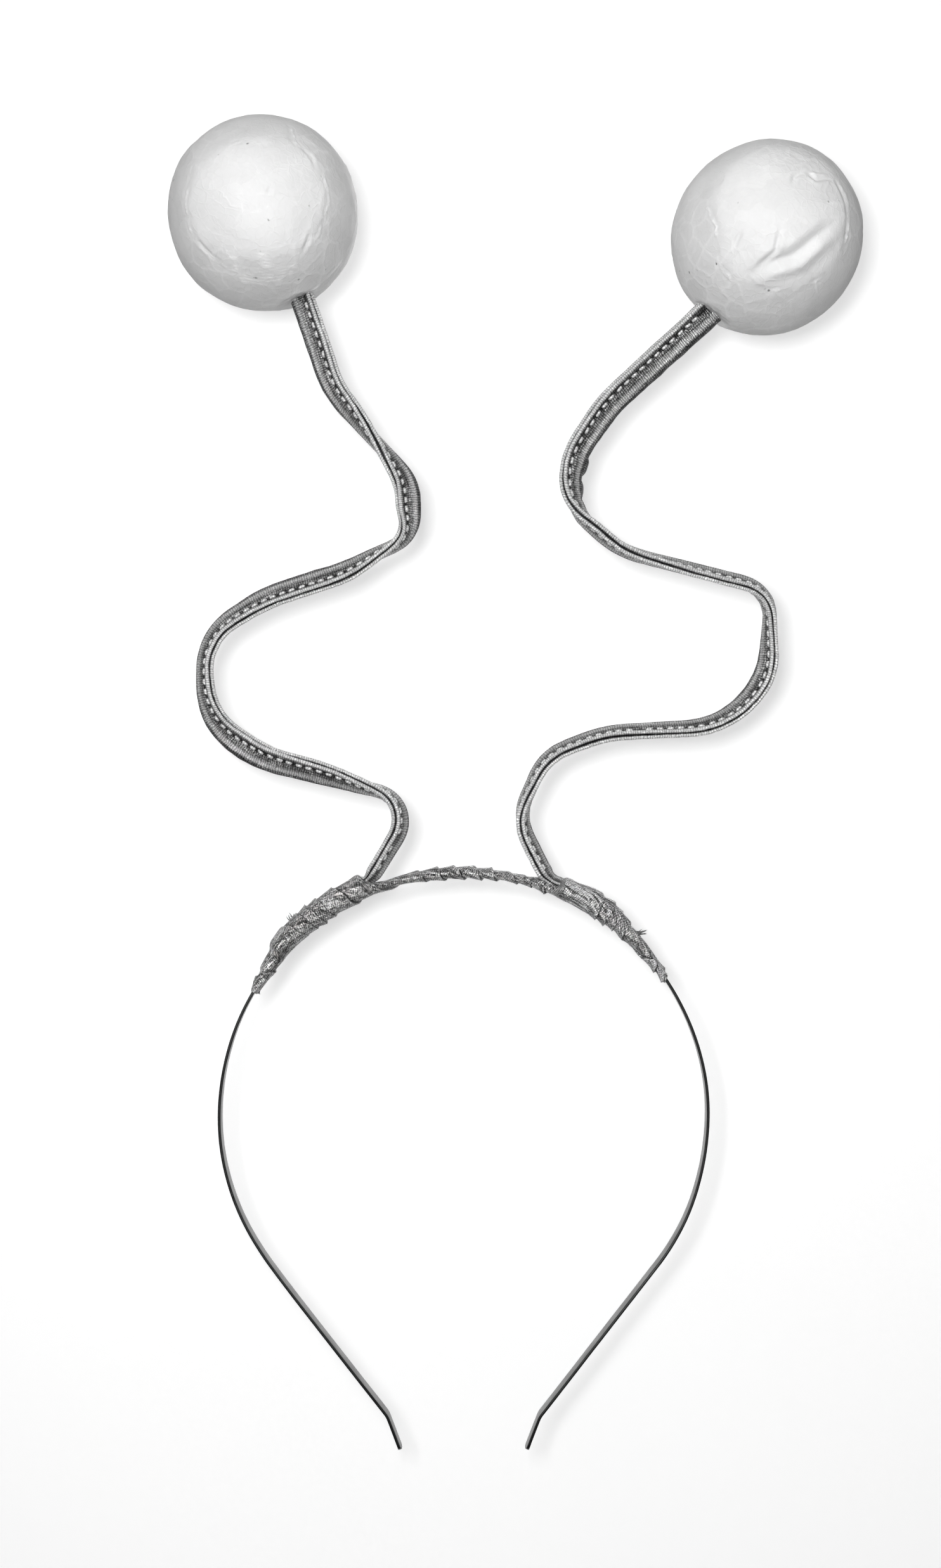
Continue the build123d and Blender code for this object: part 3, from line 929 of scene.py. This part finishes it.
def stitches(stalk, first, last, name, seed):
    """Sewing stitches along both lips between two path indices."""
    rng = np.random.default_rng(seed)
    around, steps = 8, 7
    points, faces, coords = [], [], []
    pitch = STITCH_PITCH / PATH_STEP
    reach = STITCH_LENGTH / PATH_STEP / 2
    for side in (-1, 1):
        number = math.ceil(first / pitch)
        while (number + 0.5) * pitch + reach < last:
            middle = (number + 0.5) * pitch + rng.normal(0, 0.25)
            skew = rng.normal(0, 0.07)
            start = len(points)
            for i in range(steps):
                t = 2 * i / (steps - 1) - 1
                # A stitch stands proud in the middle and dives in at its ends
                out = 0.86 + 0.16 * (1 - t**4) + 0.02 * rng.normal()
                forward = STITCH_DEPTH - 0.05 + skew * t
                thick = STITCH_THICKNESS * (1 - 0.55 * t**6)
                index = middle + t * reach
                for j in range(around):
                    w = math.tau * j / around
                    beside = side * (out + thick * math.cos(w))
                    ahead = forward + thick * 1.15 * math.sin(w)
                    points.append(stalk.place(index, beside, ahead))
                    coords.append((index * PATH_STEP, w + side, side))
            faces += ring_faces(steps, around, start, flip=side > 0)
            number += 1
    made = mesh_object(name, points, faces, coords)
    made.data.materials.append(thread_look)
    return made


def build_stalk(side, seed):
    stalk = Stalk(side)
    facts = STALKS[side]
    rings, coords, relief_and_shade = sleeve_rings(stalk, seed)
    splits = [stalk.nearest(place) for place in facts["splits"]]
    cuts = [0, stalk.above_root(BASE_END), *splits, len(stalk.line) - 1]
    names = ("foot", "base", "lower", "middle", "upper")
    entry_index = stalk.nearest(stalk.entry)
    for k in range(4):
        first, last = cuts[k], cuts[k + 1]
        parts = [values[first : last + 1] for values in (rings, coords, relief_and_shade)]
        sleeve = tube(f"{side}_sleeve_cloth_{names[k]}", *parts, ends=(k == 0, k == 3))
        sleeve.data.materials.append(sleeve_cloth)
        stood_for = [f"{side}_sleeve_{names[k]}"]
        if k == 3:
            stood_for.append(f"{side}_sleeve_upper")
        seam_first = max(first, stalk.above_root(1.0))
        seam_last = min(last, entry_index - 2)
        seam = stitches(stalk, seam_first, seam_last, f"{side}_seam_thread_{names[k]}", seed + k)
        for piece, slot in ((sleeve, "sleeve"), (seam, "thread")):
            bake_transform(piece)
        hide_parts(*stood_for)
        thread_nodes = {1: ["base", "lower"], 2: ["middle"], 3: ["upper"]}.get(k, [])
        if thread_nodes:
            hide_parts(*[f"{side}_thread_{t}" for t in thread_nodes])
    return stalk


stalks = {side: build_stalk(side, seed) for side, seed in (("left", 100), ("right", 200))}

# ---- Balls ----

BALL_DETAIL = 7


def line_distance(points, line):
    """Distance of each point to a line of (x, z) places on the ball's front."""
    placed = [np.array((x, -math.sqrt(BALL_RADIUS**2 - x * x - z * z), z)) for x, z in line]
    nearest = np.full(len(points), np.inf)
    share_along = np.zeros(len(points))
    for i, (start, end) in enumerate(zip(placed, placed[1:])):
        along = end - start
        share = np.clip((points - start) @ along / (along @ along), 0, 1)
        apart = np.linalg.norm(points - start - share[:, None] * along, axis=1)
        closer = apart < nearest
        nearest = np.where(closer, apart, nearest)
        share_along = np.where(closer, (i + share) / (len(placed) - 1), share_along)
    return nearest, share_along


def dent(points, line, width, depth):
    """A long dent that fades at its ends, with a soft raised rim."""
    apart, share = line_distance(points, line)
    fade = np.sin(np.clip(share, 0.03, 0.97) * math.pi) ** 0.7
    hollow = -bell(apart, width)
    rim = 0.4 * bell(apart - 2.2 * width, width)
    return depth * fade * (hollow + rim)


def inside(points, ring, soft):
    """1 within a ring of (x, z) places on the ball's front, 0 outside it."""
    x, z = points[:, 0], points[:, 2]
    within = np.zeros(len(points), bool)
    for (x0, z0), (x1, z1) in zip(ring, ring[1:] + ring[:1]):
        crosses = (z0 > z) != (z1 > z)
        meet = x0 + (z - z0) * (x1 - x0) / (z1 - z0 if z1 != z0 else 1.0)
        within ^= crosses & (x < meet)
    within &= points[:, 1] < 0
    apart, _ = line_distance(points, ring + ring[:1])
    share = np.clip(0.5 + 0.5 * np.where(within, apart, -apart) / soft, 0, 1)
    return share * share * (3 - 2 * share)


def shaken(points, size, step, seed, layers, amount):
    """Points moved about by noise, with its own noise along each axis."""
    parts = [layered(points * size + step * k, seed + k, layers) for k in range(3)]
    return points + amount * np.stack(parts, axis=1)


def bead_borders(points, cell, seed):
    """Distance to the nearest border between beads, from nearest random seeds."""
    rng = np.random.default_rng(seed)
    count = int(4 * math.pi * BALL_RADIUS**2 / (cell**2 * 0.86))
    golden = math.pi * (3 - math.sqrt(5))
    k = np.arange(count)
    z = 1 - 2 * (k + 0.5) / count
    r = np.sqrt(1 - z * z)
    seeds = np.stack([r * np.cos(k * golden), r * np.sin(k * golden), z], axis=1)
    seeds = seeds * BALL_RADIUS + rng.normal(0, cell * 0.22, seeds.shape)
    border, which = [], []
    for chunk in np.array_split(points, 24):
        apart = np.linalg.norm(chunk[:, None, :] - seeds[None, :, :], axis=2)
        order = np.argpartition(apart, 1, axis=1)[:, :2]
        pair = np.take_along_axis(apart, order, axis=1)
        border.append((pair.max(axis=1) - pair.min(axis=1)) / 2)
        which.append(np.where(pair[:, 0] > pair[:, 1], order[:, 1], order[:, 0]))
    return np.concatenate(border), np.concatenate(which), rng.uniform(-1, 1, count)


def build_ball(stalk, seed, cell, ring, dents, cracks, scratches, seam, look):
    """A bead-foam ball with pressed bead cells, dents, and a mouth for the sleeve."""
    shape = bmesh.new()
    bmesh.ops.create_icosphere(shape, subdivisions=BALL_DETAIL, radius=BALL_RADIUS)
    mesh = bpy.data.meshes.new(f"{stalk.side}_foam_ball")
    shape.to_mesh(mesh)
    shape.free()
    points = np.zeros(len(mesh.vertices) * 3)
    mesh.vertices.foreach_get("co", points)
    points = points.reshape(-1, 3)
    normal = points / np.linalg.norm(points, axis=1)[:, None]
    bent = shaken(points, 0.35, 11, seed, 1, 0.9)
    border, which, level = bead_borders(bent, cell, seed)
    offset = 0.4 * layered(points * 0.05, seed + 5, 2) + 0.12 * layered(points * 0.16, seed + 6, 2)
    offset += 0.05 * level[which] * np.clip(border / 1.2, 0, 1)
    shown = np.clip(0.2 + 0.9 * noise(points * 0.06, seed + 9), 0.05, 0.8)
    offset += 0.07 * shown * bell(border, 0.28)
    offset -= 0.05 * shown * bell(border - 0.75, 0.3)
    offset += 0.02 * layered(points * 0.9, seed + 12, 2)
    for line, width, depth in dents:
        offset += dent(points, line, width, depth)
    ragged = shaken(points, 0.5, 7, seed + 30, 2, 0.5)
    mark = 0.3 * shown * bell(border, 0.22)
    # The middle of the front bulges a little inside a ring of broken skin, and outside the ring
    # the material paints the foam darker, as shade
    cap = inside(ragged, ring, 3.2)
    offset += 0.3 * cap - 0.1
    for strength, line in cracks:
        apart, _ = line_distance(ragged, line)
        broken = strength * np.clip(0.5 + 1.3 * noise(points * 0.3, seed + 40), 0, 1)
        ridge = broken * bell(apart, 0.26)
        offset += 0.16 * ridge - 0.12 * broken * bell(apart - 0.8, 0.4)
        mark = np.maximum(mark, ridge)
    for k in range(scratches):
        level = SCRATCH_TOP - SCRATCH_STEP * k
        line = [(-7.0 + 0.3 * k, level), (2.0, level - 0.9), (11.0 - 0.3 * k, level + 0.4)]
        apart, _ = line_distance(points + 0.35 * (ragged - points), line)
        broken = np.clip(0.45 + 1.3 * noise(points * 0.4, seed + 50 + k), 0, 1)
        scratch = broken * bell(apart, 0.22)
        offset -= 0.09 * scratch
        mark = np.maximum(mark, scratch)
    if seam:
        axis = np.array(seam, float)
        axis /= np.linalg.norm(axis)
        height = points @ axis
        uneven = np.clip(0.4 + 0.8 * noise(points * 0.5, seed + 20), 0, 1)
        flash = uneven * bell(height, 0.28) * (points[:, 0] > 4)
        offset += 0.3 * flash
        mark = np.maximum(mark, flash)
    # The foam is pressed in and torn a little where the sleeve was pushed through
    mouth = stalk.entry - stalk.ball
    apart = np.linalg.norm(points - (mouth[0], 0, mouth[1]), axis=1)
    torn = 1 + 0.3 * noise(points * 0.7, seed + 25)
    offset -= 1.2 * bell(apart, 3.6 * torn)
    offset += 0.25 * bell(apart - 6.0, 1.6)
    points = points + normal * np.minimum(offset, 0.7)[:, None]
    points += (stalk.ball[0], 0, stalk.ball[1])
    mesh.vertices.foreach_set("co", (points * MM).ravel())
    mesh.update()
    paint(mesh, "mark", np.clip(mark, 0, 1))
    paint(mesh, "cap", cap)
    mesh.shade_smooth()
    made = add_object(mesh.name, mesh)
    mesh.materials.append(look)
    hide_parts(f"{stalk.side}_ball")
    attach(made, f"{stalk.side}_stalk_upper")
    return made


# Marks on the balls' fronts, as (x, z) from the ball's centre
LEFT_DENTS = [
    ([(3.6, -2.3), (4.6, -0.6)], 0.5, 0.4),
    ([(11.2, -15), (13, -12.2), (13.6, -10)], 0.5, 0.35),
    ([(-15.2, -11), (-13.2, -13.4), (-9, -16.8)], 0.5, 0.3),
    ([(9.9, 13), (14.3, 8.7), (14.9, 6)], 0.45, 0.25),
]
LEFT_RING = [
    (-3.6, 12.8), (-9.8, 9.7), (-15.1, 6.9), (-18, -1.6), (-16.4, -9.4), (-13.2, -13.1),
    (-7, -16.2), (1.8, -17.5), (11, -14.9), (15.5, -10.4), (18.6, -1.4), (16.9, 5.4), (14.3, 8.7),
    (9.9, 13), (3, 14.5),
]
LEFT_CRACKS = [
    (0.8, [(-3.6, 12.2), (-9.8, 7.7), (-15.1, 6.9), (-18, -1.6), (-16.4, -9.4)]),
    (0.8, [(-16.4, -9.4), (-13.2, -13.1), (-7, -18.2), (1.8, -20.5), (11, -14.9)]),
    (1, [(11, -14.9), (15.5, -10.4), (18.6, -1.4), (16.9, 5.4), (14.3, 8.7)]),
    (1, [(14.3, 8.7), (9.9, 13), (9, 17)]),
    (0.25, [(-2.5, -6.3), (2.8, -5.9), (7.2, -2.7)]),
    (0.25, [(-4.3, -8.7), (-2.5, -6.3), (-3.9, -2), (3.8, -2.1)]),
]
RIGHT_DENTS = [
    ([(-7.3, -14.9), (-2.8, -12.3), (3.2, -10.8), (8.5, -6.4), (13.2, -2)], 1.3, 0.75),
    ([(-5.3, -16.2), (-0.8, -14.5), (5.4, -12.6), (10.3, -8), (14.2, -4)], 1.5, -0.5),
    ([(-5.5, -13), (-1.3, -9.6), (-0.4, -4.5)], 0.55, 0.5),
    ([(-11.6, -8.1), (-9.6, -4.2)], 0.5, 0.4),
    ([(13.8, 10.5), (16.4, 5.5), (17.2, -4.5)], 0.6, 0.3),
    ([(2.5, 6.9), (3.4, 9), (5.6, 10.4)], 0.5, 0.45),
    ([(6.9, 10.2), (9, 8.6), (13.2, 9.6)], 0.5, 0.5),
]
RIGHT_RING = [
    (-17, 4.8), (-15.8, -2.3), (-15.1, -10.6), (-11.8, -15.3), (-2.2, -17.9), (6, -17.6),
    (9.5, -15.9), (15.1, -12.1), (17.5, -4.5), (17.6, 5.5), (14.5, 13), (6.9, 18), (-3, 19),
    (-12, 14),
]
RIGHT_CRACKS = [
    (0.9, [(-18.2, 2.8), (-15.8, -2.3), (-15.1, -10.6), (-11.8, -15.3), (-2.2, -17.9)]),
    (1, [(-2.2, -17.9), (6, -17.6), (9.5, -15.9), (15.1, -12.1), (17.5, -4.5)]),
    (1, [(17.5, -4.5), (17.6, 5.5), (13.8, 10.5)]),
    (1, [(-2.2, -17.9), (-1.8, -20.5), (1.5, -21.4)]),
    (1, [(9.5, -15.9), (10.6, -18)]),
    (0.8, [(13.8, 10.5), (6.9, 10.2)]),
    (0.4, [(-1.3, -9.6), (0.2, -3.1), (3.3, -0.4), (6, -2.9)]),
]
SCRATCH_TOP = -14.6
SCRATCH_STEP = 0.62
LEFT_SEAM = (0.12, 1.0, -0.1)
LEFT_LOOK = foam_material("foam_left", 0.7, 6.6)
RIGHT_LOOK = foam_material("foam_right", 1.9, 6.0)
LEFT_MARKS = (LEFT_RING, LEFT_DENTS, LEFT_CRACKS)
RIGHT_MARKS = (RIGHT_RING, RIGHT_DENTS, RIGHT_CRACKS)
build_ball(stalks["left"], 300, 6.4, *LEFT_MARKS, 11, LEFT_SEAM, LEFT_LOOK)
build_ball(stalks["right"], 400, 6.0, *RIGHT_MARKS, 0, None, RIGHT_LOOK)

# ---- CAD nodes that stay: wires and glue ----

for node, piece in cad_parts.items():
    for word, look in (("_wire_", wire_look), ("_glue", glue_look)):
        if word in node:
            piece.data.materials.clear()
            piece.data.materials.append(look)

# ---- Stage, light and camera ----

scene = bpy.context.scene
scene.view_settings.view_transform = "Standard"
scene.view_settings.look = "None"

CAMERA_DISTANCE = 0.510
VIEW_HEIGHT = 0.4123
CAMERA_X = 0.0018
CAMERA_Z = 0.0247
camera_data = bpy.data.cameras.new("camera")
camera_data.sensor_width = 36.0
camera_data.lens = 36.0 * CAMERA_DISTANCE / VIEW_HEIGHT
camera = add_object("camera", camera_data)
camera.location = (CAMERA_X, -CAMERA_DISTANCE, CAMERA_Z)
camera.rotation_euler = (math.radians(90), 0, 0)
scene.camera = camera

BACKDROP_Y = 0.123
BACKDROP_SIZE = 2.4


def backdrop():
    """The pale sheet the headband is laid on, one-sided so that it hides nothing."""
    half = BACKDROP_SIZE / 2
    corners = [(-half, -half), (half, -half), (half, half), (-half, half)]
    places = [(CAMERA_X + x, BACKDROP_Y, CAMERA_Z + z) for x, z in corners]
    mesh = bpy.data.meshes.new("backdrop")
    mesh.from_pydata(places, [], [(0, 1, 2, 3)])
    made = add_object("backdrop", mesh)
    n = Look("white_paper")
    place = n.coords()
    fibre = n.noise(place, 900.0, 3.0)
    ray = n.add("ShaderNodeLightPath").outputs
    n.set(
        Base_Color=n.ramp(fibre, (0.3, 0.86), (0.7, 0.9)),
        Roughness=0.9,
        Normal=n.bump(fibre, 0.05, 0.0001),
        Emission_Color=(1, 1, 1, 1),
        Emission_Strength=n.remap(ray["Is Camera Ray"], 0, 1, 0.04, 0.34),
    )
    # Seen from behind it is clear, and it casts no shadow
    clear = n.add("ShaderNodeBsdfTransparent").outputs[0]
    facing = n.add("ShaderNodeNewGeometry").outputs["Backfacing"]
    gone = n.math("MAXIMUM", facing, ray["Is Shadow Ray"])
    mixed = n.add("ShaderNodeMixShader", {0: gone, 1: n.shader.outputs[0], 2: clear})
    output = n.tree.nodes["Material Output"]
    n.put(output.inputs["Surface"], mixed.outputs[0])
    mesh.materials.append(n.material)


def area_light(name, place, target, size, power):
    data = bpy.data.lights.new(name, "AREA")
    data.shape = "RECTANGLE"
    data.size, data.size_y = size
    data.energy = power
    made = add_object(name, data)
    made.location = place
    aim = Vector(target) - Vector(place)
    made.rotation_euler = aim.to_track_quat("-Z", "Y").to_euler()


backdrop()
area_light("key", (-0.013, -0.512, 0.037), (-0.003, 0, 0.028), (0.026, 0.026), 1.85)
area_light("upper_left", (-0.25, -1.0, 0.45), (0, 0, 0.03), (1.0, 1.0), 6.5)
area_light("top_fill", (0.0, -0.5, 1.1), (0, 0, 0.05), (0.9, 0.4), 0.8)
area_light("side_fill", (0.95, -0.5, 0.0), (0, 0, 0.0), (0.3, 0.9), 0.35)
area_light("back_fill", (0.25, 1.1, 0.5), (0, 0, 0.05), (0.5, 0.5), 5.0)

# The camera sees white where there is no backdrop; everything else gets a weak grey
WORLD_STRENGTH = 0.07
world = bpy.data.worlds.new("studio")
scene.world = world
world.use_nodes = True
sky = Nodes(world)
lit = sky.tree.nodes["Background"]
seen = sky.add("ShaderNodeBackground", {"Color": (1, 1, 1, 1), "Strength": 1.0})
lit.inputs["Color"].default_value = (0.9, 0.9, 0.9, 1)
lit.inputs["Strength"].default_value = WORLD_STRENGTH
to_camera = sky.add("ShaderNodeLightPath").outputs["Is Camera Ray"]
both = sky.add("ShaderNodeMixShader", {0: to_camera, 1: lit.outputs[0], 2: seen.outputs[0]})
sky.put(sky.tree.nodes["World Output"].inputs["Surface"], both.outputs[0])
